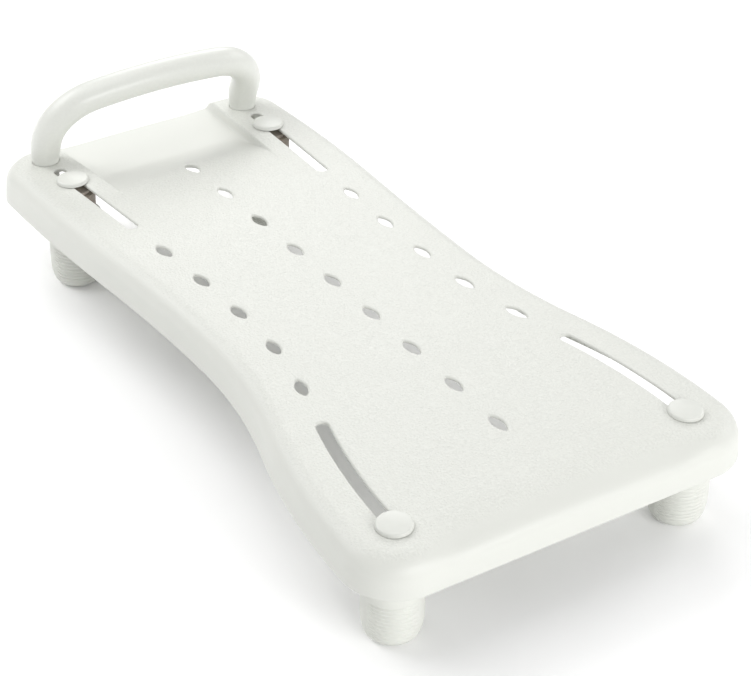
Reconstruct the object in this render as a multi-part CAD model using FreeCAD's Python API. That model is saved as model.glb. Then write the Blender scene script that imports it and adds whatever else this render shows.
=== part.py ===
"""Bath transfer board: an arched plastic deck, a tubular handle and four clamp feet.

Millimetres, +Z up. The origin is on the floor under the middle of the deck, +Y runs along the
board towards the handle and +X across it. Each sub-part is written to parts/NODE.step.
"""
import FreeCAD, Part
import math
import os
from FreeCAD import Vector

os.makedirs("parts", exist_ok=True)

# Deck: plan
LENGTH = 690.0
WAIST_HALF = 132.6
WAIST_Y = -20.0
NEAR_HALF = 177.0
NEAR_WIDEST_Y = -315.0
NEAR_WAIST_R = 440.0
NEAR_CORNER_R = 43.3
FAR_HALF = 142.5
FAR_WIDEST_Y = 250.0
FAR_WAIST_R = 2000.0
FAR_CORNER_R = 38.6

# Deck: section
DECK_TOP = 106.2
BOW_R = 7070.0
CROWN_R = 4050.0
WALL = 4.0
SKIRT_DEPTH = 35.3
EDGE_R = 17.5
LIP_R = 1.5

# Drain holes and foot slots
HOLE_PITCH = 58.3
HOLE_MID_Y = -9.0
HOLE_LENGTH = 23.3
HOLE_WIDTH = 9.7
HOLE_TIP_R = 1.2
GUIDE_INSET = 43.5
SLOT_WIDTH = 10.2
SLOT_END_GAP = 0.6

# Hand scoop at the handle end
SCOOP_START_Y = 196.0
SCOOP_FLOOR_Y = 258.0
SCOOP_DEPTH = 12.5
SCOOP_HALF_START = 74.0
SCOOP_HALF_END = 80.0

# Underside ribs
RIB = 2.6
RIB_DEPTH = 12.0
RIB_X = (22.0, 58.0)

# Clamp feet: where each one stands, how far it travels along its slot
NEAR_FOOT_Y = -302.0
NEAR_SWING = 13.5
FAR_FOOT = (100.4, 261.0)
FAR_SLOT_LEAN = 0.05
FAR_TRAVEL_IN = 98.0
FAR_SLOT_OUT = 28.0

CAP_R = 14.3
CAP_GAP = 0.7
CAP_RIM = 2.2
CAP_DOME = 1.3
CAP_RIM_R = 0.7
NECK_LENGTH = 14.0
NECK_WIDTH = 9.0
NECK_DEPTH = 3.6
BOLT_R = 2.95
BOLT_HEAD_R = 7.0
BOLT_HEAD = 1.2
BOLT_TIP_Z = 40.0
THREAD_CLEARANCE = 0.05
WASHER_R = 16.0
WASHER = 3.0
WASHER_GAP = 1.5
WASHER_BORE_R = 3.4
FOOT_R = 23.9
FOOT_ROUND = 12.0
SLEEVE_TOP = 69.0
SLEEVE_FLOOR = 7.0
CORE_R = 19.4
CORE_WALL = 3.0
CORE_TOP_WALL = 8.0
HUB_R = 8.0
INSERT_R = 5.0
INSERT_LENGTH = 18.0
INSERT_SINK = 3.0
FACE_GAP = 0.05

# Handle
LEG_X = 102.0
LEG_Y = 310.5
LEG_R = 12.25
GRIP_R = 13.6
SEAT_SINK = 1.5
SEAT_CLEARANCE = 0.3
LEAN = 24.0
LEAN_START = 12.0
LEAN_BEND_R = 35.0
ARCH_HEIGHT = 62.4
ARCH_CORNER_R = 45.0
GRIP_CROWN_R = 480.0
TUBE_WALL = 3.5
SPIGOT_R = 9.0
SPIGOT_CLEARANCE = 0.1
SPIGOT_BOTTOM_Z = 76.0
BOSS_R = 11.5
BOSS_BOTTOM_Z = 72.0
SCREW_R = 3.0
SCREW_LENGTH = 22.0
SCREW_HEAD_R = 5.5
SCREW_HEAD = 3.6
SCREW_WASHER_R = 7.0
SCREW_WASHER = 1.5
SCREW_HOLE_R = 3.3
LEG_INSERT_R = 4.6
LEG_INSERT_LENGTH = 14.0

UP = Vector(0, 0, 1)
SIDES = (("left", -1), ("right", 1))


def save(shape, node):
    """Write one sub-part and check that it is sound."""
    if not shape.isValid() or shape.Volume <= 0:
        raise ValueError("bad shape: " + node)
    shape.exportStep("parts/" + node + ".step")
    print(node, "solids", len(shape.Solids), "volume cm3", round(shape.Volume / 1000, 2))


# ---------------------------------------------------------------- plan outline

def flare_radius(rise, run, waist_r):
    """Radius of the convex arc that meets a waist arc and ends parallel to Y."""
    return (rise * rise + run * run) / (2 * rise) - waist_r


NEAR_FLARE_R = flare_radius(NEAR_HALF - WAIST_HALF, NEAR_WIDEST_Y - WAIST_Y, NEAR_WAIST_R)
FAR_FLARE_R = flare_radius(FAR_HALF - WAIST_HALF, FAR_WIDEST_Y - WAIST_Y, FAR_WAIST_R)
NEAR_FLARE_C = Vector(NEAR_HALF - NEAR_FLARE_R, NEAR_WIDEST_Y, 0)
FAR_FLARE_C = Vector(FAR_HALF - FAR_FLARE_R, FAR_WIDEST_Y, 0)
NEAR_WAIST_C = Vector(WAIST_HALF + NEAR_WAIST_R, WAIST_Y, 0)
FAR_WAIST_C = Vector(WAIST_HALF + FAR_WAIST_R, WAIST_Y, 0)


def corner_centre(flare_c, flare_r, corner_r, end_y):
    """Centre of a corner arc inside the flare arc and against the end line."""
    y = end_y - math.copysign(corner_r, end_y)
    reach = flare_r - corner_r
    return Vector(flare_c.x + math.sqrt(reach ** 2 - (y - flare_c.y) ** 2), y, 0)


NEAR_CORNER_C = corner_centre(NEAR_FLARE_C, NEAR_FLARE_R, NEAR_CORNER_R, -LENGTH / 2)
FAR_CORNER_C = corner_centre(FAR_FLARE_C, FAR_FLARE_R, FAR_CORNER_R, LENGTH / 2)


def towards(a, b, distance):
    """The point at a distance from a, on the way to b."""
    step = Vector(b).sub(a)
    step.normalize()
    return a.add(step.multiply(distance))


def arc(centre, start, end):
    """The short arc about a centre from one point to another."""
    middle = Vector(start).add(end).multiply(0.5)
    radius = Vector(start).sub(centre).Length
    return Part.Arc(start, towards(centre, middle, radius), end).toShape()


def half_outline(inset):
    """Edges of the right half of the plan outline, moved inwards."""
    end = LENGTH / 2 - inset
    near_corner = towards(NEAR_FLARE_C, NEAR_CORNER_C, NEAR_FLARE_R - inset)
    near_turn = towards(NEAR_FLARE_C, NEAR_WAIST_C, NEAR_FLARE_R - inset)
    waist = Vector(WAIST_HALF - inset, WAIST_Y, 0)
    far_turn = towards(FAR_FLARE_C, FAR_WAIST_C, FAR_FLARE_R - inset)
    far_corner = towards(FAR_FLARE_C, FAR_CORNER_C, FAR_FLARE_R - inset)
    near_end = Vector(NEAR_CORNER_C.x, -end, 0)
    far_end = Vector(FAR_CORNER_C.x, end, 0)
    return [
        Part.LineSegment(Vector(0, -end, 0), near_end).toShape(),
        arc(NEAR_CORNER_C, near_end, near_corner),
        arc(NEAR_FLARE_C, near_corner, near_turn),
        arc(NEAR_WAIST_C, near_turn, waist),
        arc(FAR_WAIST_C, waist, far_turn),
        arc(FAR_FLARE_C, far_turn, far_corner),
        arc(FAR_CORNER_C, far_corner, far_end),
        Part.LineSegment(far_end, Vector(0, end, 0)).toShape(),
    ]


def outline_prism(inset):
    """A tall prism with the deck's plan."""
    right = half_outline(inset)
    left = [edge.mirror(Vector(), Vector(1, 0, 0)) for edge in right]
    wire = Part.Wire(Part.__sortEdges__(right + left))
    return Part.Face(wire).extrude(Vector(0, 0, 2 * DECK_TOP))


def half_width(y):
    """Half the deck's width at y, away from its corners."""
    near_turn_y = towards(NEAR_FLARE_C, NEAR_WAIST_C, NEAR_FLARE_R).y
    far_turn_y = towards(FAR_FLARE_C, FAR_WAIST_C, FAR_FLARE_R).y
    if y < near_turn_y:
        return NEAR_FLARE_C.x + math.sqrt(NEAR_FLARE_R ** 2 - (y - NEAR_FLARE_C.y) ** 2)
    if y > far_turn_y:
        return FAR_FLARE_C.x + math.sqrt(FAR_FLARE_R ** 2 - (y - FAR_FLARE_C.y) ** 2)
    centre, radius = (NEAR_WAIST_C, NEAR_WAIST_R) if y < WAIST_Y else (FAR_WAIST_C, FAR_WAIST_R)
    return centre.x - math.sqrt(radius ** 2 - (y - centre.y) ** 2)


def side_angle(y):
    """Degrees by which the deck's edge turns from +Y towards +X at y."""
    step = 0.5
    return math.degrees(math.atan2(half_width(y + step) - half_width(y - step), 2 * step))


# ---------------------------------------------------------------- deck surfaces

def top_z(x, y):
    """Height of the arched and crowned top."""
    return DECK_TOP - y * y / (2 * BOW_R) - x * x / (2 * CROWN_R)


def arched_slab(top_drop, bottom_drop):
    """A slab whose crowned top and flat-sided bottom both follow the deck's bow."""
    half = 200.0
    reach = 3.4
    centre = DECK_TOP - CROWN_R
    radius = CROWN_R - top_drop
    edge_z = centre + math.sqrt(radius ** 2 - half ** 2)
    low = DECK_TOP - bottom_drop
    left, right = Vector(-half, 0, edge_z), Vector(half, 0, edge_z)
    low_left, low_right = Vector(-half, 0, low), Vector(half, 0, low)
    profile = Part.Wire([
        Part.Arc(left, Vector(0, 0, centre + radius), right).toShape(),
        Part.LineSegment(right, low_right).toShape(),
        Part.LineSegment(low_right, low_left).toShape(),
        Part.LineSegment(low_left, left).toShape(),
    ])
    axis_point = Vector(0, 0, DECK_TOP - BOW_R)
    face = Part.Face(profile)
    face.rotate(axis_point, Vector(1, 0, 0), -reach)
    return face.revolve(axis_point, Vector(1, 0, 0), 2 * reach)


def rounded_blank(inset, bottom_drop, radius):
    """The deck's outer form, or its hollow, with the long top edge rounded."""
    blank = outline_prism(inset).common(arched_slab(inset, bottom_drop)).Solids[0]
    floor = DECK_TOP - SKIRT_DEPTH + EDGE_R / 2
    rim = [edge for edge in blank.Edges if edge.BoundBox.ZMin > floor]
    return blank.makeFillet(radius, rim)


def scoop_tool(grow):
    """The space above the hand scoop, lowered and widened by grow."""
    start = Vector(0, SCOOP_START_Y - grow, DECK_TOP - SCOOP_START_Y ** 2 / (2 * BOW_R) - grow)
    floor_z = DECK_TOP - SCOOP_FLOOR_Y ** 2 / (2 * BOW_R) - SCOOP_DEPTH - grow
    floor = Vector(0, SCOOP_FLOOR_Y, floor_z)
    run, drop = floor.y - start.y, start.z - floor.z
    ease_r = (run * run + drop * drop) / (4 * drop)
    middle = Vector(0, start.y + run / 2, start.z - drop / 2)
    over_y = LENGTH / 2 + 20
    fall = (over_y ** 2 - SCOOP_FLOOR_Y ** 2) / (2 * BOW_R)
    end = Vector(0, over_y, floor.z - fall)
    high = DECK_TOP + 20
    profile = Part.Wire([
        arc(Vector(0, start.y, start.z - ease_r), start, middle),
        arc(Vector(0, floor.y, floor.z + ease_r), middle, floor),
        Part.LineSegment(floor, end).toShape(),
        Part.LineSegment(end, Vector(0, over_y, high)).toShape(),
        Part.LineSegment(Vector(0, over_y, high), Vector(0, start.y, high)).toShape(),
        Part.LineSegment(Vector(0, start.y, high), start).toShape(),
    ])
    wide = 100.0
    face = Part.Face(profile)
    face.translate(Vector(-wide, 0, 0))
    swept = face.extrude(Vector(2 * wide, 0, 0))
    slope = (SCOOP_HALF_END - SCOOP_HALF_START) / (LENGTH / 2 - SCOOP_START_Y)
    half_near = SCOOP_HALF_START + grow - slope * grow
    half_far = SCOOP_HALF_END + grow + slope * (over_y - LENGTH / 2)
    plan = Part.makePolygon([
        Vector(-half_near, start.y, 0), Vector(half_near, start.y, 0),
        Vector(half_far, over_y, 0), Vector(-half_far, over_y, 0), Vector(-half_near, start.y, 0),
    ])
    return swept.common(Part.Face(plan).extrude(Vector(0, 0, 2 * DECK_TOP)))


# ---------------------------------------------------------------- openings in the deck

def drain_hole(x, y, angle):
    """A lens-shaped hole cutter, its length turned from +Y towards +X."""
    half_l, half_w = HOLE_LENGTH / 2, HOLE_WIDTH / 2
    radius = (half_l ** 2 + half_w ** 2) / HOLE_WIDTH
    shift = radius - half_w
    height = 2 * DECK_TOP
    lens = Part.makeCylinder(radius, height, Vector(-shift, 0, 0)).common(
        Part.makeCylinder(radius, height, Vector(shift, 0, 0)))
    upright = [e for e in lens.Edges if e.BoundBox.ZLength > height / 2]
    tips = [e for e in upright if abs(e.BoundBox.Center.y) > half_l / 2]
    lens = lens.makeFillet(HOLE_TIP_R, tips)
    lens.rotate(Vector(), UP, -angle)
    lens.translate(Vector(x, y, 0))
    return lens


def far_slot(side):
    """Cutter for the straight slot beside the hand scoop."""
    along = Vector(FAR_SLOT_LEAN, 1, 0).normalize()
    across = Vector(along.y, -along.x, 0).multiply(SLOT_WIDTH / 2)
    foot = Vector(FAR_FOOT[0], FAR_FOOT[1], 0)
    reach_in = FAR_TRAVEL_IN + NECK_LENGTH / 2 + SLOT_END_GAP - SLOT_WIDTH / 2
    inner = foot.sub(Vector(along).multiply(reach_in))
    outer = foot.add(Vector(along).multiply(FAR_SLOT_OUT - SLOT_WIDTH / 2))
    return swept_slot([inner, outer], across, side)


def swept_slot(ends, across, side):
    """A straight slot with round ends between two centres."""
    inner, outer = ends
    plan = Part.makePolygon([
        inner.add(across), outer.add(across), outer.sub(across), inner.sub(across), inner.add(across),
    ])
    height = 2 * DECK_TOP
    tool = Part.Face(plan).extrude(Vector(0, 0, height))
    for centre in ends:
        tool = tool.fuse(Part.makeCylinder(SLOT_WIDTH / 2, height, centre))
    tool = tool.removeSplitter()
    return tool if side > 0 else tool.mirror(Vector(), Vector(1, 0, 0))


SLOT_ARC_R = NEAR_FLARE_R - GUIDE_INSET


def slot_point(turn):
    """A point on the curved slot's line, turned about its centre from the foot's place."""
    start = math.asin((NEAR_FOOT_Y - NEAR_FLARE_C.y) / SLOT_ARC_R)
    angle = start + math.radians(turn)
    return NEAR_FLARE_C.add(Vector(math.cos(angle), math.sin(angle), 0).multiply(SLOT_ARC_R))


NEAR_FOOT = (slot_point(0).x, NEAR_FOOT_Y)


def near_slot(side):
    """Cutter for the curved slot that follows the near flare."""
    half = SLOT_WIDTH / 2
    overrun = math.degrees((NECK_LENGTH / 2 + SLOT_END_GAP - half) / SLOT_ARC_R)
    first, last = slot_point(-overrun), slot_point(NEAR_SWING + overrun)
    height = 2 * DECK_TOP
    band = Part.makeCylinder(SLOT_ARC_R + half, height, NEAR_FLARE_C).cut(
        Part.makeCylinder(SLOT_ARC_R - half, height, NEAR_FLARE_C))
    reach = 2 * SLOT_ARC_R
    wedge = Part.Face(Part.makePolygon([
        NEAR_FLARE_C, towards(NEAR_FLARE_C, first, reach), towards(NEAR_FLARE_C, last, reach), NEAR_FLARE_C,
    ])).extrude(Vector(0, 0, height))
    tool = band.common(wedge)
    for centre in (first, last):
        tool = tool.fuse(Part.makeCylinder(half, height, centre))
    tool = tool.removeSplitter()
    return tool if side > 0 else tool.mirror(Vector(), Vector(1, 0, 0))


def drain_holes():
    """Cutters for the middle row and the two side rows."""
    tools = [drain_hole(0, HOLE_MID_Y + HOLE_PITCH * k, 0) for k in range(-4, 5)]
    for k in range(-2, 3):
        y = HOLE_MID_Y + HOLE_PITCH * k
        x = half_width(y) - GUIDE_INSET
        for _, side in SIDES:
            tools.append(drain_hole(side * x, y, side * side_angle(y)))
    return tools


def rib_network():
    """Stiffening ribs below the deck, kept clear of the feet's paths."""
    plates = []
    high = 2 * DECK_TOP
    for x in RIB_X:
        for _, side in SIDES:
            plates.append(Part.makeBox(RIB, LENGTH, high, Vector(side * x - RIB / 2, -LENGTH / 2, 0)))
    for k in range(-5, 6):
        y = HOLE_MID_Y + HOLE_PITCH * (k + 0.5)
        if abs(y) < LENGTH / 2:
            plates.append(Part.makeBox(4 * NEAR_HALF, RIB, high, Vector(-2 * NEAR_HALF, y - RIB / 2, 0)))
    ribs = plates[0].fuse(plates[1:])
    overlap = WALL / 2
    relief = 0.58 * EDGE_R
    wide = outline_prism(overlap).common(arched_slab(relief, RIB_DEPTH))
    tall = outline_prism(relief).common(arched_slab(overlap, RIB_DEPTH))
    ribs = ribs.common(wide).fuse(ribs.common(tall))
    ribs = ribs.cut(scoop_tool(overlap))
    channel_r = FOOT_R + 3.0
    for _, side in SIDES:
        ribs = ribs.cut(foot_channel(channel_r, side))
    return ribs


def foot_channel(radius, side):
    """The space that the near and far feet sweep on one side."""
    height = 2 * DECK_TOP
    along = Vector(FAR_SLOT_LEAN, 1, 0).normalize()
    across = Vector(along.y, -along.x, 0).multiply(radius)
    foot = Vector(FAR_FOOT[0], FAR_FOOT[1], 0)
    inner = foot.sub(Vector(along).multiply(FAR_TRAVEL_IN))
    outer = foot.add(Vector(along).multiply(LENGTH))
    pieces = [Part.Face(Part.makePolygon([
        inner.add(across), outer.add(across), outer.sub(across), inner.sub(across), inner.add(across),
    ])).extrude(Vector(0, 0, height)), Part.makeCylinder(radius, height, inner)]
    steps = 6
    for k in range(steps + 1):
        pieces.append(Part.makeCylinder(radius, height, slot_point(NEAR_SWING * k / steps)))
    channel = pieces[0].fuse(pieces[1:])
    return channel if side > 0 else channel.mirror(Vector(), Vector(1, 0, 0))


LEG_SEAT_Z = top_z(LEG_X, LEG_Y) - SEAT_SINK


def make_deck():
    """The moulded deck: a ribbed shell with its openings and handle bosses."""
    outer = rounded_blank(0.0, SKIRT_DEPTH, EDGE_R).cut(scoop_tool(0.0))
    hollow = rounded_blank(WALL, 2 * SKIRT_DEPTH, EDGE_R - WALL).cut(scoop_tool(WALL))
    deck = outer.cut(hollow).fuse(rib_network())
    bosses = []
    bores = []
    for _, side in SIDES:
        x = side * LEG_X
        top = top_z(LEG_X, LEG_Y) - WALL / 2
        bosses.append(Part.makeCylinder(BOSS_R, top - BOSS_BOTTOM_Z, Vector(x, LEG_Y, BOSS_BOTTOM_Z)))
        bores.append(Part.makeCylinder(LEG_R + SEAT_CLEARANCE, DECK_TOP, Vector(x, LEG_Y, LEG_SEAT_Z)))
        spigot_low = Vector(x, LEG_Y, SPIGOT_BOTTOM_Z)
        bores.append(Part.makeCylinder(SPIGOT_R + SPIGOT_CLEARANCE, DECK_TOP, spigot_low))
        bores.append(Part.makeCylinder(SCREW_HOLE_R, DECK_TOP, Vector(x, LEG_Y, 0)))
    deck = deck.fuse(bosses)
    cutters = drain_holes() + bores
    for _, side in SIDES:
        cutters += [far_slot(side), near_slot(side)]
    deck = deck.cut(cutters)
    return deck.removeSplitter().Solids[0]


# ---------------------------------------------------------------- handle

def swept_arc(centre, axis, start, turn, radius):
    """Solid round bar along an arc: a disc at start, turned in degrees about an axis."""
    tangent = Vector(axis).cross(Vector(start).sub(centre))
    disc = Part.Face(Part.Wire([Part.Circle(start, tangent, radius).toShape()]))
    return disc.revolve(centre, axis, turn)


def handle_bar(thinner):
    """Round bar from leg to leg: upright, leaning back, then arched over the hand gap."""
    slim, full = LEG_R - thinner, GRIP_R - thinner
    lean = math.radians(LEAN)
    rise = Vector(0, -math.sin(lean), math.cos(lean))
    facing = Vector(0, -math.cos(lean), -math.sin(lean))
    setback = LEAN_BEND_R * math.tan(lean / 2)
    base = Vector(0, LEG_Y, top_z(LEG_X, LEG_Y) + LEAN_START)
    bow_c = base.add(Vector(rise).multiply(ARCH_HEIGHT - GRIP_CROWN_R))
    corner_x = LEG_X - ARCH_CORNER_R
    spread = math.asin(corner_x / (GRIP_CROWN_R - ARCH_CORNER_R))
    corner_s = ARCH_HEIGHT - GRIP_CROWN_R + (GRIP_CROWN_R - ARCH_CORNER_R) * math.cos(spread)
    right_end = bow_c.add(Vector(math.sin(spread), 0, 0).multiply(GRIP_CROWN_R))
    right_end = right_end.add(Vector(rise).multiply(math.cos(spread) * GRIP_CROWN_R))
    pieces = [swept_arc(bow_c, facing, right_end, 2 * math.degrees(spread), full)]
    for _, side in SIDES:
        foot = Vector(side * LEG_X, LEG_Y, LEG_SEAT_Z)
        bend_low = Vector(side * LEG_X, LEG_Y, base.z - setback)
        bend_c = bend_low.sub(Vector(0, LEAN_BEND_R, 0))
        bend_high = base.add(Vector(side * LEG_X, 0, 0)).add(Vector(rise).multiply(setback))
        corner_low = base.add(Vector(side * LEG_X, 0, 0)).add(Vector(rise).multiply(corner_s))
        corner_c = corner_low.sub(Vector(side * ARCH_CORNER_R, 0, 0))
        pieces.append(Part.makeCylinder(slim, bend_low.z - foot.z, foot))
        pieces.append(swept_arc(bend_c, Vector(1, 0, 0), bend_low, LEAN, slim))
        pieces.append(Part.makeCone(slim, full, corner_s - setback, bend_high, rise))
        turn = side * (90 - math.degrees(spread))
        pieces.append(swept_arc(corner_c, facing, corner_low, turn, full))
    return pieces[0].fuse(pieces[1:]).removeSplitter()


def make_handle():
    """The hollow one-piece handle with a solid spigot below each leg."""
    plug_corner = Vector(-2 * LEG_X, LEG_Y - 2 * LEG_R, LEG_SEAT_Z)
    plug = Part.makeBox(4 * LEG_X, 4 * LEG_R, LEAN_START / 2, plug_corner)
    handle = handle_bar(0.0).cut(handle_bar(TUBE_WALL).cut(plug))
    for _, side in SIDES:
        low = Vector(side * LEG_X, LEG_Y, SPIGOT_BOTTOM_Z)
        handle = handle.fuse(Part.makeCylinder(SPIGOT_R, LEG_SEAT_Z - SPIGOT_BOTTOM_Z, low))
        pocket = Part.makeCylinder(LEG_INSERT_R, LEG_INSERT_LENGTH, low)
        screw_run = Part.makeCylinder(SCREW_R + 0.2, SCREW_LENGTH, low)
        handle = handle.cut(pocket.fuse(screw_run))
    return handle.Solids[0]


def handle_fixings():
    """Threaded inserts, washers and screws that hold the handle from below."""
    inserts, washers, screws = [], [], []
    washer_z = BOSS_BOTTOM_Z - SCREW_WASHER
    for _, side in SIDES:
        x = side * LEG_X
        insert = Part.makeCylinder(LEG_INSERT_R, LEG_INSERT_LENGTH, Vector(x, LEG_Y, SPIGOT_BOTTOM_Z))
        inserts.append(insert.cut(Part.makeCylinder(SCREW_R, DECK_TOP, Vector(x, LEG_Y, 0))))
        washer = Part.makeCylinder(SCREW_WASHER_R, SCREW_WASHER, Vector(x, LEG_Y, washer_z))
        washers.append(washer.cut(Part.makeCylinder(SCREW_HOLE_R, DECK_TOP, Vector(x, LEG_Y, 0))))
        head = Part.makeCylinder(SCREW_HEAD_R, SCREW_HEAD, Vector(x, LEG_Y, washer_z - SCREW_HEAD))
        head_z = washer_z - SCREW_HEAD
        head = head.makeFillet(1.2, [e for e in head.Edges if abs(e.BoundBox.ZMax - head_z) < 0.01])
        hexagon = Part.Face(Part.makePolygon([
            Vector(x + 2.3 * math.cos(math.radians(60 * k)), LEG_Y + 2.3 * math.sin(math.radians(60 * k)),
                   washer_z - SCREW_HEAD) for k in range(7)]))
        shank = Part.makeCylinder(SCREW_R, SCREW_LENGTH, Vector(x, LEG_Y, washer_z))
        screws.append(head.fuse(shank).cut(hexagon.extrude(Vector(0, 0, 2.0))))
    return inserts, washers, screws


# ---------------------------------------------------------------- clamp feet

def revolved(points_or_edges, x, y):
    """Turn a profile in the XZ plane about the vertical line through x, y."""
    solid = Part.Face(Part.Wire(points_or_edges)).revolve(Vector(), UP, 360)
    solid.translate(Vector(x, y, 0))
    return solid


def lines(points):
    """Straight edges through a closed list of profile points."""
    vectors = [Vector(r, 0, z) for r, z in points]
    return [Part.LineSegment(a, b).toShape() for a, b in zip(vectors, vectors[1:] + vectors[:1])]


def surface_normal(x, y):
    """Unit normal of the deck's top."""
    return Vector(x / CROWN_R, y / BOW_R, 1).normalize()


def make_bolt(x, y):
    """Clamp bolt with a thin flat head moulded into the cap."""
    head_low = top_z(x, y) + CAP_GAP + 0.3
    head = Part.makeCylinder(BOLT_HEAD_R, BOLT_HEAD, Vector(x, y, head_low))
    shank = Part.makeCylinder(BOLT_R, head_low - BOLT_TIP_Z, Vector(x, y, BOLT_TIP_Z))
    return head.fuse(shank).removeSplitter()


def make_cap(x, y, heading, bolt):
    """Domed disc on the deck, with the neck that slides in the slot below it."""
    rim_top = CAP_GAP + CAP_RIM
    dome_top = rim_top + CAP_DOME
    dome_r = (CAP_R ** 2 + CAP_DOME ** 2) / (2 * CAP_DOME)
    rim_point = Vector(CAP_R, 0, rim_top)
    half_angle = math.asin(CAP_R / dome_r) / 2
    crest = Vector(dome_r * math.sin(half_angle), 0, dome_top - dome_r * (1 - math.cos(half_angle)))
    profile = [
        Part.LineSegment(Vector(0, 0, CAP_GAP), Vector(CAP_R, 0, CAP_GAP)).toShape(),
        Part.LineSegment(Vector(CAP_R, 0, CAP_GAP), rim_point).toShape(),
        Part.Arc(rim_point, crest, Vector(0, 0, dome_top)).toShape(),
        Part.LineSegment(Vector(0, 0, dome_top), Vector(0, 0, CAP_GAP)).toShape(),
    ]
    disc = Part.Face(Part.Wire(profile)).revolve(Vector(), UP, 360)
    disc = disc.makeFillet(CAP_RIM_R, [e for e in disc.Edges if abs(e.BoundBox.ZMax - rim_top) < 0.01])
    neck = Part.makeBox(NECK_WIDTH, NECK_LENGTH, NECK_DEPTH + CAP_GAP,
                        Vector(-NECK_WIDTH / 2, -NECK_LENGTH / 2, -NECK_DEPTH))
    neck = neck.makeFillet(NECK_WIDTH / 2.2, [e for e in neck.Edges if e.BoundBox.ZLength > NECK_DEPTH])
    cap = disc.fuse(neck)
    cap.rotate(Vector(), UP, heading)
    normal = surface_normal(x, y)
    cap.Placement = FreeCAD.Placement(
        Vector(x, y, top_z(x, y)), FreeCAD.Rotation(UP, normal)).multiply(cap.Placement)
    return cap.cut(bolt)


def make_washer(x, y):
    """Friction washer between the foot and the deck's underside."""
    top = top_z(x, y) - WALL - WASHER_GAP
    washer = Part.makeCylinder(WASHER_R, WASHER, Vector(x, y, top - WASHER))
    washer = washer.makeFillet(0.8, [e for e in washer.Edges if e.BoundBox.XLength > WASHER_R])
    return washer.cut(Part.makeCylinder(WASHER_BORE_R, DECK_TOP, Vector(x, y, 0)))


def make_sleeve(x, y):
    """Rubber sleeve: a thick cup with a well-rounded base."""
    base_r = FOOT_R - FOOT_ROUND
    bottom, wall_low = Vector(base_r, 0, 0), Vector(FOOT_R, 0, FOOT_ROUND)
    turn = math.sin(math.radians(45)) * FOOT_ROUND
    belly = Vector(base_r + turn, 0, FOOT_ROUND - turn)
    inner = CORE_R + FACE_GAP
    points = [(FOOT_R, SLEEVE_TOP), (inner, SLEEVE_TOP), (inner, SLEEVE_FLOOR), (0, SLEEVE_FLOOR), (0, 0)]
    vectors = [wall_low] + [Vector(r, 0, z) for r, z in points] + [bottom]
    profile = [Part.LineSegment(a, b).toShape() for a, b in zip(vectors, vectors[1:])]
    profile.append(Part.Arc(bottom, belly, wall_low).toShape())
    return revolved(profile, x, y)


def core_top(x, y):
    """Height of the knob's upper face, just under its washer."""
    return top_z(x, y) - WALL - WASHER_GAP - WASHER - FACE_GAP


def make_core(x, y):
    """Stiff knob inside the sleeve, with a central hub for the threaded insert."""
    top = core_top(x, y)
    low = SLEEVE_FLOOR + FACE_GAP
    insert_low = top - INSERT_SINK - INSERT_LENGTH
    inner = CORE_R - CORE_WALL
    core = revolved(lines([
        (CORE_R, low), (CORE_R, top), (0, top), (0, BOLT_TIP_Z - 4), (HUB_R, BOLT_TIP_Z - 4),
        (HUB_R, top - CORE_TOP_WALL), (inner, top - CORE_TOP_WALL), (inner, low),
    ]), x, y)
    pocket = Part.makeCylinder(INSERT_R, INSERT_LENGTH, Vector(x, y, insert_low))
    bolt_run = Part.makeCylinder(WASHER_BORE_R, DECK_TOP, Vector(x, y, BOLT_TIP_Z - 2))
    return core.cut([pocket, bolt_run])


def make_insert(x, y):
    """Threaded metal insert in the knob."""
    low = core_top(x, y) - INSERT_SINK - INSERT_LENGTH
    insert = Part.makeCylinder(INSERT_R, INSERT_LENGTH, Vector(x, y, low))
    return insert.cut(Part.makeCylinder(BOLT_R + THREAD_CLEARANCE, DECK_TOP, Vector(x, y, 0)))


def make_foot(name, x, y, heading):
    """All pieces of one clamp foot."""
    bolt = make_bolt(x, y)
    save(bolt, name + "_bolt")
    save(make_cap(x, y, heading, bolt), name + "_cap")
    save(make_washer(x, y), name + "_washer")
    save(make_core(x, y), name + "_core")
    save(make_insert(x, y), name + "_insert")
    save(make_sleeve(x, y), name + "_sleeve")


# ---------------------------------------------------------------- write every piece

save(make_deck(), "deck")
save(make_handle(), "handle")
for node, solids in zip(("handle_inserts", "handle_washers", "handle_screws"), handle_fixings()):
    save(Part.makeCompound(solids), node)

near_heading = -math.degrees(math.asin((NEAR_FOOT_Y - NEAR_FLARE_C.y) / SLOT_ARC_R))
far_heading = math.degrees(math.atan(FAR_SLOT_LEAN))
for side_name, side in SIDES:
    make_foot("near_" + side_name, side * NEAR_FOOT[0], NEAR_FOOT[1], side * near_heading)
    make_foot("far_" + side_name, side * FAR_FOOT[0], FAR_FOOT[1], -side * far_heading)
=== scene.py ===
"""Looks of the bath transfer board: an arched moulded deck, a tubular handle and four clamp feet.

Shapes are worked out in millimetres in the row frame and turned into metres when a mesh is made.
"""
import math

import bpy
import numpy as np
from mathutils import Matrix, Vector, kdtree
from mathutils.geometry import delaunay_2d_cdt


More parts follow.
